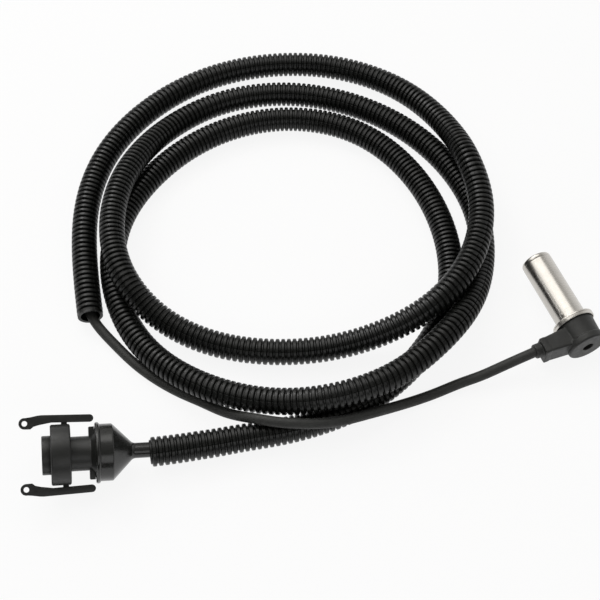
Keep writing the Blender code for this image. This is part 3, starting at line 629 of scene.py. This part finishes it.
@dataclass
class Studio:
    """Camera, floor and soft lights.

    Attributes:
        camera_at: the camera's place in metres.
        camera_aim: the point it looks at.
        lens_mm: focal length.
        frame_mm: width of the camera's frame.
        lamp_aim: the point that every lamp faces.
        floor_half: half the floor's side in metres.
        floor_colour: what the floor scatters.
        floor_glow: share of plain white in what the camera and the metal see of the floor.
        room_shades: warm greys of the room at places from its -X side, 0, to its +X side, 1.
        room_depth: strength of the room from its front, at Y -0.8, to its back, from Y 0.3 on.
        lamps: the soft lamps.
    """

    camera_at: Triple = (-0.2413, -0.2413, 0.5672)
    camera_aim: Triple = (-0.1127, 0.0600, 0.0)
    lens_mm: float = 75.0
    frame_mm: float = 36.0
    lamp_aim: Triple = (-0.11, 0.06, 0.0)
    floor_half: float = 6.0
    floor_colour: Triple = (0.92, 0.92, 0.925)
    floor_glow: float = 0.89
    room_shades: tuple[tuple[float, Triple], ...] = (
        (0.0, (0.16, 0.1576, 0.1528)), (0.40, (0.18, 0.1773, 0.1719)), (0.58, (0.48, 0.4728, 0.4584)),
        (0.80, (0.50, 0.4925, 0.4775)), (1.0, (1.0, 1.0, 1.0)))
    room_depth: tuple[float, float] = (0.3, 1.0)
    lamps: tuple[Lamp, ...] = (
        Lamp("top_panel", (-0.38, 0.80, 1.02), (1.7, 1.5), 12.0, (1.0, 0.99, 0.965)),
        Lamp("key_lamp", (-0.30, 0.95, 0.92), (0.45, 0.3), 2.6),
        Lamp("edge_strip", (-1.18, 0.57, 0.52), (0.6, 0.05), 0.35),
        Lamp("front_fill", (-0.22, -0.55, 0.42), (0.7, 0.35), 0.85),
    )

    @staticmethod
    def aim(item: Piece, at: Triple, to: Triple) -> None:
        """Put an object at a point and turn its -Z towards another, with no roll."""
        look = np.array(to) - np.array(at)
        item.location = at
        lean = math.acos(-look[2] / np.linalg.norm(look))
        item.rotation_euler = (lean, 0, math.atan2(look[1], look[0]) - math.pi / 2)

    def camera(self) -> None:
        """Make the camera of the photograph's view."""
        data = bpy.data.cameras.new("studio_camera")
        data.lens, data.sensor_width, data.clip_start, data.clip_end = self.lens_mm, self.frame_mm, 0.01, 20.0
        item = adopt("studio_camera", data)
        self.aim(item, self.camera_at, self.camera_aim)
        bpy.context.scene.camera = item

    def floor(self) -> None:
        """Make the pale floor: it takes shadows, and its camera view is lifted towards white."""
        half = self.floor_half
        mesh = bpy.data.meshes.new("studio_floor")
        corners = [(-half, -half, 0), (half, -half, 0), (half, half, 0), (-half, half, 0)]
        mesh.from_pydata(corners, [], [(0, 1, 2, 3)])
        item = adopt("studio_floor", mesh)
        nodes = Nodes("studio_floor")
        nodes.tree.nodes.remove(nodes.shader)
        diffuse = nodes.add("BsdfDiffuse", {"Color": (*self.floor_colour, 1)})
        glow = nodes.add("Emission", {"Color": (1, 1, 1, 1), "Strength": 1.0})
        ray = nodes.add("LightPath")
        shown = ray.outputs["Is Camera Ray"]
        for kind in ("Is Glossy Ray", "Is Transmission Ray"):
            shown = nodes.add("Math", {0: shown, 1: ray.outputs[kind]}, operation="MAXIMUM").outputs[0]
        seen = nodes.add("Math", {0: shown, 1: self.floor_glow}, operation="MULTIPLY")
        mix = nodes.add("MixShader", {"Fac": seen.outputs[0], 1: diffuse.outputs[0], 2: glow.outputs[0]})
        nodes.tree.links.new(mix.outputs[0], nodes.tree.nodes["Material Output"].inputs["Surface"])
        mesh.materials.append(nodes.material)

    def sky(self) -> None:
        """Make the room: pale on the right, darker on the left and in front, as the steel shows it."""
        world = bpy.data.worlds.new("studio_room")
        bpy.context.scene.world = world
        wiring = Wiring(world)
        split = wiring.add("SeparateXYZ", {"Vector": wiring.spot.outputs["Generated"]})
        span = wiring.add("MapRange", {"Value": split.outputs["X"], "From Min": -1.0})
        ramp = wiring.add("ValToRGB", {"Fac": span.outputs["Result"]})
        stops = ramp.color_ramp.elements
        for position, _ in self.room_shades[1:-1]:
            stops.new(position)
        for stop, (_, shade) in zip(stops, self.room_shades):
            stop.color = (*shade, 1)
        front = wiring.add("MapRange", {"Value": split.outputs["Y"], "From Min": -0.8, "From Max": 0.3,
                                        "To Min": self.room_depth[0], "To Max": self.room_depth[1]})
        back = wiring.tree.nodes["Background"]
        wiring.tree.links.new(front.outputs["Result"], back.inputs["Strength"])
        wiring.tree.links.new(ramp.outputs[0], back.inputs["Color"])

    def build(self) -> None:
        """Make the whole studio."""
        self.camera()
        self.floor()
        self.sky()
        for lamp in self.lamps:
            self.aim(lamp.build(), lamp.at, self.lamp_aim)
        bpy.context.scene.view_settings.view_transform = "Standard"


@dataclass
class Lead:
    """The smooth cable and the corrugated conduit that it runs through.

    Lengths are metres, and the two routes and the pitch are millimetres.

    Attributes:
        neck_run: straight run of the conduit out of the boot.
        crest, groove, bore: its outer radius, the radius in its grooves, and the inner one.
        phase, height: profile of one pitch, as shares of it and heights from groove, 0, to crest, 1.
        rim, rim_cut: length of the plain edge at the mouth, and how much lower than the crests it is.
        swell, swell_run: how much wider the conduit is on the boot's neck, and over what length.
        droop, droop_run, droop_power: how far its first end hangs off the neck's axis, over what length,
            and how soon that fades.
        bow, bow_at, bow_spread: how far the run after that bends towards the coil, where and how widely.
        pitch, pitch_at: length of one corrugation at places along the conduit: bends stretch and close it.
        inner_rings: rings of the inner wall.
        collar_back, collar_reach, collar_lift: place of the strain collar's face by the sensor's axes.
        collar_run: straight run of the cable out of it.
        sag: how far the cable's run after that hangs below its route.
        bore_drop, bore_drift: how far the cable lies below the conduit's centreline, and beside it in
            the mouth.
        boot_entry: how far before the neck's end the cable's last two points lie.
        conduit_route: points from the run out of the boot to the open mouth.
        cable_route: points from the strain collar to the last run into the mouth.
    """

    neck_run: float = 0.006
    crest: float = 0.0067
    groove: float = 0.0054
    bore: float = 0.0050
    phase: tuple[float, ...] = (0.00, 0.20, 0.27, 0.39, 0.81, 0.93)
    height: tuple[float, ...] = (0.0, 0.0, 0.72, 1.0, 1.0, 0.72)
    rim: float = 0.0012
    rim_cut: float = 0.0002
    swell: float = 0.0005
    swell_run: float = 0.05
    droop: Triple = (-0.0003, -0.0008, -0.0011)
    droop_run: float = 0.024
    droop_power: float = 1.2
    bow: float = 0.0007
    bow_at: float = 0.045
    bow_spread: float = 0.016
    pitch_at: tuple[float, ...] = (0.0, 0.17, 0.21, 0.43, 0.54, 0.62, 0.72, 0.84, 0.95, 1.03, 1.10, 1.15, 1.20,
                                   1.27, 1.35, 1.44, 1.49, 1.62, 1.70)
    pitch: tuple[float, ...] = (3.02, 2.90, 2.60, 2.62, 2.86, 3.03, 3.04, 2.70, 2.74, 3.02, 2.54, 2.68, 2.98,
                                2.96, 2.86, 3.05, 2.82, 2.92, 2.79)
    conduit_sides: int = 24
    inner_rings: int = 170
    cable_radius: float = 0.0026
    cable_sides: int = 20
    collar_back: float = 0.00845
    collar_reach: float = 0.0261
    collar_lift: float = 0.0006
    collar_run: float = 0.003
    sag: float = 0.0006
    bore_drop: float = 0.0021
    bore_drift: float = 0.0018
    boot_entry: tuple[float, float] = (0.004, 0.017)
    conduit_route: list[Triple] = field(default_factory=lambda: [
        (-188.5, -0.5, 7.5), (-161.3, -6.7, 7), (-109.5, -10.2, 7), (-75.1, 0.7, 7), (-45, 24.5, 7),
        (-25.5, 74.3, 7), (-27.3, 109.9, 7), (-41.8, 142.8, 7), (-75, 167.7, 7), (-116.4, 173.4, 7),
        (-156.4, 160.8, 7), (-185, 137, 7.2), (-200.1, 99.9, 7), (-198.2, 63.3, 7.9), (-181.7, 31.5, 11.7),
        (-147, 2.4, 16.5), (-129.1, -5.4, 20), (-87.5, -7.4, 21), (-70.2, -2.4, 20.5), (-53.7, 5, 19.4),
        (-22.7, 32, 9.2), (-5.7, 68.7, 7), (-4.1, 87, 7), (-19.4, 140.2, 7), (-55, 177.2, 7),
        (-82.3, 189.4, 7.1), (-113.6, 192.6, 7), (-135, 187.3, 8.6), (-161.5, 169.5, 16.2),
        (-176.2, 153.8, 20.1), (-193.3, 117.9, 21), (-194.6, 99.7, 20), (-189, 79.2, 14.6),
        (-178.1, 62.7, 10), (-136.2, 32.6, 7), (-100.3, 21.2, 10.4), (-50, 22.3, 22.5),
        (-16.2, 48.7, 22.1), (-3.4, 74, 21.2), (0.4, 93.6, 21), (2.9, 112.9, 15.7), (-6.2, 160.6, 7),
        (-29.7, 187.6, 7), (-60.9, 205.1, 7), (-102, 212.6, 7), (-143.2, 204.5, 7), (-178, 182.1, 7),
        (-196.2, 157.2, 7), (-208.3, 125.8, 7), (-217.1, 89.6, 7),
    ])
    cable_route: list[Triple] = field(default_factory=lambda: [
        (-27.1, -19.6, 10.3), (-37, -19.3, 8.3), (-48.8, -19.2, 6.3), (-58.2, -18.2, 4.6),
        (-71.7, -17.7, 3), (-87.8, -17.6, 4.5), (-111.1, -18.4, 12.2), (-128.4, -16.7, 14.8),
        (-145.4, -11.3, 17.2), (-154.3, -6.6, 17.3), (-162, -0.7, 15.6), (-168, 6, 10.4),
        (-174.5, 14.6, 5), (-181.6, 23.9, 3), (-188.3, 31.4, 3), (-195.6, 40.9, 3), (-204.6, 56.4, 3),
        (-211.3, 73.1, 3), (-215.8, 87.2, 4.2),
    ])

    def conduit_line(self, spacing: float) -> np.ndarray:
        """Return the conduit's centreline, straight out of the boot and then along its route."""
        start = NECK_END + SEAT_GAP
        run = CONNECTOR_AXES.place(np.array([[start, 0, 0], [start + self.neck_run, 0, 0]]))
        return smooth_line(np.vstack([run, np.array(self.conduit_route) * MM]), spacing)

    def cable_line(self, spacing: float) -> np.ndarray:
        """Return the cable's centreline: collar, floor, mouth, along the conduit's bore, into the boot."""
        inside = self.conduit_line(17 * MM)[::-1] - np.array([0, 0, self.bore_drop])
        way = inside[1] - inside[2]
        inside[1] += self.bore_drift * np.cross(way, [0, 0, 1]) / np.linalg.norm(way)
        collar = SENSOR_AXES.place(np.array([[-self.collar_back, self.collar_reach, self.collar_lift]]))
        run = collar - np.array([[self.collar_run, 0, self.sag / 2]])
        boot = CONNECTOR_AXES.place(np.array([[NECK_END - back, 0, 0] for back in self.boot_entry]))
        route = np.array(self.cable_route) * MM
        route[:2, 2] -= self.sag
        return smooth_line(np.vstack([collar, run, route, inside[1:-1], boot]), spacing)

    @staticmethod
    def rings(line: np.ndarray, radius: np.ndarray, sides: int) -> np.ndarray:
        """Return circles square to a line.

        At each point the sideways direction is the line's direction crossed with up, and the upright one
        is square to both; the ring's point at turn t is centre + r (cos t sideways + sin t upright).

        Args:
            line: (rows, 3) centres.
            radius: (rows,) radii.
            sides: places round a ring.
        """
        way = np.gradient(line, axis=0)
        way[0], way[-1] = line[1] - line[0], line[-1] - line[-2]
        way /= np.maximum(np.linalg.norm(way, axis=1), 1e-12)[:, None]
        side = np.cross(way, [0, 0, 1])
        side /= np.linalg.norm(side, axis=1)[:, None]
        rise = np.cross(side, way)
        turn = np.linspace(0, math.tau, sides, endpoint=False)[None, :, None]
        circle = np.cos(turn) * side[:, None] + np.sin(turn) * rise[:, None]
        return line[:, None] + radius[:, None, None] * circle

    def conduit(self, finishes: Finishes) -> None:
        """Make the corrugated conduit as one hollow tube with open ends.

        Along each pitch the radius runs: groove, groove, shoulder, crest, crest, shoulder. The rings are
        read from the smooth centreline, and the inner wall is carried back along it. The corrugations are
        counted by adding up length over pitch, and evened out to a whole number.
        """
        fine = self.conduit_line(0.5 * MM)
        length = line_length(fine)
        along = np.linspace(0, length, len(fine))
        hang = np.maximum(1 - along / self.droop_run, 0) ** self.droop_power
        fine = fine + hang[:, None] * np.array(self.droop)
        fine[:, 1] += self.bow * np.exp(-((along - self.bow_at) / self.bow_spread) ** 2)
        fine[:, 2] = np.maximum(fine[:, 2], self.crest)
        turns = np.cumsum(1 / np.interp(along, self.pitch_at, np.array(self.pitch) * MM)) * along[1]
        turns -= turns[0]
        count = int(turns[-1])
        turns *= count / turns[-1]
        height = np.array(self.height) * (self.crest - self.groove)
        at = np.interp((np.arange(count)[:, None] + np.array(self.phase)).ravel(), turns, along)
        radius = np.tile(self.groove + height, count)
        at, radius = np.append(at, length), np.append(radius, self.crest)
        radius += self.swell * np.exp(-(at / self.swell_run) ** 2)
        radius[at > length - self.rim] = self.crest - self.rim_cut
        inner_at = np.linspace(length, 0, self.inner_rings)
        bore = self.bore + self.swell * np.exp(-(inner_at / self.swell_run) ** 2)
        place = np.concatenate([at, inner_at])
        line = np.stack([np.interp(place, along, fine[:, k]) for k in range(3)], axis=1)
        outer = self.rings(line[:len(at)], radius, self.conduit_sides)
        inner = self.rings(line[len(at):][::-1], bore[::-1], self.conduit_sides)[::-1]
        item = grid_solid("conduit_tube", np.vstack([outer, inner]), place, Shading.CRISP)
        settle(item, None, finishes.conduit, "sensor", "conduit_nylon", "conduit")
        path = self.conduit_line(4 * MM)

    def cable(self, finishes: Finishes) -> None:
        """Make the cable as one closed round tube from the strain collar into the boot."""
        line = self.cable_line(2.5 * MM)
        points = self.rings(line, np.full(len(line), self.cable_radius), self.cable_sides)
        first, last = (np.repeat(end[:, None], self.cable_sides, axis=1) for end in (line[:1], line[-1:]))
        points = np.vstack([first, points, last])
        along = np.concatenate([[0], np.linspace(0, line_length(line), len(line)), [line_length(line)]])
        item = grid_solid("cable_jacket", points, along, Shading.SOFT)
        settle(item, None, finishes.jacket, "sensor", "cable_jacket", "cable", "cable_end")


@dataclass
class SensorHead:
    """The steel sleeve and the moulded head with its arm.

    Lengths are metres. Places count along the sleeve's axis from the flange's seat.

    Attributes:
        rim_ease: how far inside the flange's edge its face starts to fall off.
        seam_back: the fine line round the sleeve, from its tip.
        ring_at: the fine groove round the flange, behind its seat, ring_depth deep.
        mark_half: half the width of the line and the groove.
        nib_lines: rows of (place, half width, half height) along the nib.
        nib_from: where the nib starts.
        nib_angle: its turn from the side to the top, in degrees.
        nib_sink: how far its middle lies below the sleeve's surface.
        skirt_step: how much slimmer the head is inside the skirt than its own radius.
        lip: length of the raised edge at the arm's end, lip_rise proud of the arm.
        root_grow: how much wider the arm is at its root, to each side.
        voxel, passes: grid of the head's softened surface, and how often it is smoothed.
    """

    sleeve_radius: float = 0.008
    wall: float = 0.0006
    reach: float = 0.0394
    flange: float = 0.011
    flange_wall: float = 0.0007
    skirt: float = 0.0027
    head_radius: float = 0.0101
    waist: float = 0.0093
    body_length: float = 0.0124
    disc_radius: float = 0.0104
    disc: float = 0.0039
    recess_radius: float = 0.0028
    recess_depth: float = 0.0035
    arm_reach: float = 0.0228
    arm_offset: float = 0.00905
    arm_half_width: float = 0.0043
    arm_half_height: float = 0.0058
    collar_radius: float = 0.0037
    collar_length: float = 0.0037
    collar_lift: float = 0.0006
    spigot: float = 0.0071
    spigot_reach: float = 0.0115
    rim_ease: float = 0.0012
    seam_back: float = 0.0026
    ring_at: float = 0.0012
    ring_depth: float = 0.00014
    mark_half: float = 0.0002
    nib_lines: tuple[Triple, ...] = ((0.0, 0.0008, 0.0004), (0.0010, 0.0011, 0.0009), (0.0022, 0.0011, 0.0009),
                                     (0.0030, 0.0007, 0.0003))
    nib_from: float = 0.0012
    nib_angle: float = 45.0
    nib_sink: float = 0.0002
    skirt_step: float = 0.0003
    lip: float = 0.0028
    lip_rise: float = 0.00015
    root_grow: float = 0.0011
    voxel: float = 0.00022
    passes: int = 6

    def sleeve(self, finishes: Finishes) -> None:
        """Turn the drawn can: closed tip, seam line near it, flange and crimped skirt."""
        radius, flange, fine = self.sleeve_radius, self.flange, self.mark_half
        bore = radius - self.wall
        skirt_bore = self.head_radius + SEAT_GAP
        line = self.reach - self.seam_back
        item = turned("sleeve_can", [
            (self.reach, 0, 0), (self.reach, radius - 0.0001, 0.0013), (line + fine, radius - 0.00008, 0),
            (line, radius - 0.00018, 0), (line - fine, radius, 0), (0.0, radius, 0.0005),
            (0.0, flange - self.rim_ease, 0.0003), (-0.0001, flange, 0.0005), (-self.ring_at + fine, flange, 0),
            (-self.ring_at, flange - self.ring_depth, 0), (-self.ring_at - fine, flange, 0),
            (-self.skirt, flange - 0.0001, 0.0002), (-self.skirt, skirt_bore, 0),
            (-self.flange_wall, skirt_bore, 0), (-self.flange_wall, bore, 0), (self.reach - self.wall, bore, 0.0007),
            (self.reach - self.wall, 0, 0)], 128)
        nib = swept_box("nib", np.array([[x, 0, 0, w, h] for x, w, h in self.nib_lines]), power=3.0, sides=32)
        lift = radius - self.nib_sink
        turn = math.radians(self.nib_angle)
        spot = (self.nib_from, lift * math.cos(turn), lift * math.sin(turn))
        move_points(nib, Axes(spot, 0.0, 0.0, self.nib_angle - 90.0))
        trim = bore + self.wall / 2
        plug = turned("nib_trim", [(-0.001, 0, 0), (0.008, 0, 0), (0.008, trim, 0), (-0.001, trim, 0)], 64)
        combine(nib, plug, "DIFFERENCE")
        combine(item, nib, "UNION")
        item.data.shade_smooth()
        item.data.set_sharp_from_angle(angle=Shading.CRISP.value)
        settle(item, SENSOR_AXES, finishes.steel, "sensor", "stainless", "sensor_sleeve")

    def head(self, finishes: Finishes) -> None:
        """Mould the head: waisted body, end disc with its recess, side arm and strain collar, softly rounded."""
        back = self.body_length + self.disc
        shoulder, slim = -self.flange_wall - SEAT_GAP, self.head_radius - self.skirt_step
        item = turned("head_moulding", [
            (-back, 0, 0), (-back, self.disc_radius, 0.0009), (-self.body_length, self.disc_radius, 0.0007),
            (-self.body_length, self.waist, 0), (-self.skirt - SEAT_GAP, slim, 0), (shoulder, slim, 0),
            (shoulder, self.spigot, 0), (self.spigot_reach, self.spigot, 0.0004), (self.spigot_reach, 0, 0)])
        w, h, y, reach = self.arm_half_width, self.arm_half_height, self.arm_offset, self.arm_reach
        lip, rise = reach - self.lip, self.lip_rise
        arm = swept_box("arm", np.array([
            [0.0, y, 0, w + self.root_grow, h], [0.008, y, 0, w + self.root_grow - 0.0001, h],
            [lip - 0.0001, y, 0, w, h], [lip, y, 0, w + rise, h + rise], [reach - 0.0003, y, 0, w + rise, h + rise],
            [reach, y, 0, w - 0.0001, h - 0.0001]]), power=14.0, sides=96)
        move_points(arm, Axes((0, 0, 0), 90.0))
        combine(item, arm, "UNION")
        collar_end = reach + self.collar_length
        collar = turned("collar", [(0.008, 0, 0), (collar_end, 0, 0), (collar_end, self.collar_radius, 0.0006),
                                   (0.008, self.collar_radius, 0)], 64)
        move_points(collar, Axes((-y + self.collar_lift, 0, self.collar_lift), 90.0))
        combine(item, collar, "UNION")
        deep = self.recess_depth - back
        recess = turned("recess", [(-back - 0.001, 0, 0), (deep, 0, 0), (deep, self.recess_radius, 0.0004),
                                   (-back - 0.001, self.recess_radius, 0)], 48)
        combine(item, recess, "DIFFERENCE")
        soften(item, self.voxel, self.passes)
        settle(item, SENSOR_AXES, finishes.head, "sensor", "black_moulding", "sensor_head")

    def build(self, finishes: Finishes) -> None:
        """Make the sleeve and head, and dress the coil unit inside."""
        self.sleeve(finishes)
        self.head(finishes)
        dress(SENSOR_INSIDE, finishes)


@dataclass
class Connector:
    """The round connector: barrel, locking collar, two latch levers and rubber boot.

    Lengths are metres. Places count along the connector's axis from the front of its nose.

    Attributes:
        tower_bore: hole in the barrel's web round the contact carrier.
        pivot: place at which the levers stand on the collar, and turn.
        splay: how far each arm leans outward to its eye, in degrees.
        heel: how far back from the eye's middle, and over its top, the outer edge runs on to it.
        gusset: rows of (back from the eye's middle, across from the arm's inner edge) under the bend.
        web_half: half the length of a lever's web along the arm.
        web_foot: how far the web reaches in from the pivot, past the collar's outside.
        neck_tuck: how far the boot's neck goes into the conduit.
    """

    nose_radius: float = 0.00925
    nose: float = 0.0043
    barrel_radius: float = 0.0082
    barrel_end: float = 0.0229
    shoulder: float = 0.0020
    tail_radius: float = 0.0116
    tail_end: float = 0.0325
    mating_bore: float = 0.0076
    mating_depth: float = 0.0095
    web: float = 0.0016
    tower_bore: float = 0.0053
    rear_bore: float = 0.0066
    lug_reach: float = 0.0125
    lug_width: float = 0.0070
    lug_start: float = 0.0221
    lock_start: float = 0.0041
    lock_length: float = 0.0094
    lock_radius: float = 0.0144
    lever_offset: float = 0.0170
    lever_thickness: float = 0.0036
    lever_depth: float = 0.0026
    lever_tail: float = 0.0138
    lever_bend: float = 0.0116
    eye_reach: float = 0.0184
    eye_drop: float = 0.0021
    eye_radius: float = 0.0027
    eye_hole: float = 0.0013
    heel: tuple[float, float] = (0.0026, 0.0003)
    gusset: tuple[tuple[float, float], ...] = ((0.0042, -0.0018), (0.0066, -0.0011), (0.0124, 0.0))
    web_half: float = 0.0014
    web_foot: float = 0.0009
    splay: float = 1.75
    pivot: float = 0.0108
    boot_start: float = 0.0249
    boot_radius: float = 0.01365
    boot_bore: float = 0.0119
    bead_radius: float = 0.0146
    bead: float = 0.0022
    cone_start: float = 0.0330
    neck_start: float = 0.0425
    neck_tuck: float = 0.003
    neck_radius: float = 0.0037
    neck_bore: float = 0.0029

    def barrel(self, finishes: Finishes) -> None:
        """Mould the barrel with its nose, web, shoulder, tail and the two lugs."""
        web_back = self.mating_depth + self.web
        item = turned("connector_barrel", [
            (0, self.mating_bore, 0.0004), (0, self.nose_radius, 0.0005), (self.nose, self.nose_radius, 0),
            (self.nose, self.barrel_radius, 0), (self.barrel_end, self.barrel_radius, 0.0008),
            (self.barrel_end + self.shoulder, self.tail_radius, 0.0003), (self.tail_end, self.tail_radius, 0.0003),
            (self.tail_end, self.rear_bore, 0), (web_back, self.rear_bore, 0), (web_back, self.tower_bore, 0),
            (self.mating_depth, self.tower_bore, 0), (self.mating_depth, self.mating_bore, 0.0004)])
        root = (self.barrel_radius + self.rear_bore) / 2
        end = self.boot_start - SEAT_GAP
        for side in (1, -1):
            low, high = sorted((side * root, side * self.lug_reach))
            plan = rounded([(self.lug_start, low, 0.0004), (end, low, 0), (end, high, 0),
                            (self.lug_start, high, 0.0004)], 4)
            lug = slab("lug", plan, -self.lug_width / 2, self.lug_width / 2)
            combine(item, lug, "UNION")
        bevelled(item, 0.0002, 2)
        settle(item, CONNECTOR_AXES, finishes.connector, "sensor", "connector_moulding", "connector_shell")

    def collar(self, finishes: Finishes) -> None:
        """Mould the locking collar, with its counterbore round the nose."""
        front, back = self.lock_start, self.lock_start + self.lock_length
        seat, bore, step = (size + SEAT_GAP for size in (self.nose_radius, self.barrel_radius, self.nose))
        item = turned("collar_ring", [
            (front, seat, 0.0003), (front, self.lock_radius, 0.0009), (back, self.lock_radius, 0.0009),
            (back, bore, 0.0003), (step, bore, 0), (step, seat, 0)], 128)
        settle(item, CONNECTOR_AXES, finishes.connector, "sensor", "connector_moulding", "locking_collar")

    def lever(self, side: int, finishes: Finishes) -> None:
        """Mould one latch lever: round tail, straight arm, bend, eye with its hole, and the web to the collar.

        The plan is the outline of a bar with a half circle for its tail and another for its eye.

        Args:
            side: 1 for the upper lever, -1 for the lower one.
            finishes: the materials.
        """
        half = self.lever_thickness / 2
        foot = self.lock_radius + SEAT_GAP
        offset = self.lever_offset - foot
        tail = np.linspace(-math.pi / 2, math.pi / 2, 13)
        tail_centre = self.lever_tail - half
        eye = np.array([-self.eye_reach, offset - self.eye_drop])
        turn = np.radians(np.linspace(82, 270, 29))
        inner = offset - half
        plan = np.vstack([
            np.stack([tail_centre + half * np.cos(tail), offset + half * np.sin(tail)], axis=1),
            [[-self.lever_bend + 0.001, offset + half], [-self.lever_bend - 0.0008, offset + half - 0.0002]],
            [[eye[0] + self.heel[0], eye[1] + self.eye_radius + self.heel[1]]],
            eye + self.eye_radius * np.stack([np.cos(turn), np.sin(turn)], axis=1),
            [[eye[0] + 0.0028, eye[1] - self.eye_radius]],
            [[eye[0] + back, inner + across] for back, across in self.gusset],
        ])
        plan[:, 1] *= side
        name = "lever_upper" if side > 0 else "lever_lower"
        item = slab(name, plan, -self.lever_depth / 2, self.lever_depth / 2)
        half, low = self.web_half, -self.web_foot
        web = slab("web", np.array([[-half, low], [half, low], [half, offset], [-half, offset]]) * [1, side],
                   -self.lever_depth * 0.42, self.lever_depth * 0.42)
        combine(item, web, "UNION")
        eye[1] *= side
        turn = np.linspace(0, math.tau, 40, endpoint=False)
        hole = slab("hole", eye + self.eye_hole * np.stack([np.cos(turn), np.sin(turn)], axis=1), -0.003, 0.003)
        combine(item, hole, "DIFFERENCE")
        bevelled(item, 0.00035, 3)
        move_points(item, Axes((self.pivot, side * foot, 0), -side * self.splay))
        node = "latch_lever_upper" if side > 0 else "latch_lever_lower"
        settle(item, CONNECTOR_AXES, finishes.connector, node, "connector_moulding", node)

    def boot(self, finishes: Finishes) -> None:
        """Turn the rubber boot: bead, cylinder, cone and neck, which enters the conduit a little way."""
        bead_end, tip = self.boot_start + self.bead, NECK_END + self.neck_tuck
        item = turned("boot", [
            (self.boot_start, self.boot_bore, 0), (self.boot_start, self.bead_radius, 0.0010),
            (bead_end, self.bead_radius, 0.0010), (bead_end, self.boot_radius, 0.0002),
            (self.cone_start, self.boot_radius, 0.0011), (self.neck_start + 0.0003, self.neck_radius, 0.0030),
            (tip, self.neck_radius, 0.0003), (tip, self.neck_bore, 0), (self.neck_start + 0.001, self.neck_bore, 0),
            (self.cone_start, self.boot_bore, 0)], 128)
        settle(item, CONNECTOR_AXES, finishes.boot, "sensor", "black_rubber", "cable_boot")

    def build(self, finishes: Finishes) -> None:
        """Make the connector and dress the pieces inside it."""
        self.barrel(finishes)
        self.collar(finishes)
        self.lever(1, finishes)
        self.lever(-1, finishes)
        self.boot(finishes)
        dress(CONNECTOR_INSIDE, finishes)


def main() -> None:
    """Build the studio and the pieces."""
    logging.basicConfig(level=logging.INFO, format="%(message)s")
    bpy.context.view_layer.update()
    Studio().build()
    finishes = Finishes()
    lead = Lead()
    Connector().build(finishes)
    SensorHead().build(finishes)
    lead.conduit(finishes)
    lead.cable(finishes)


if __name__ == "__main__":
    main()
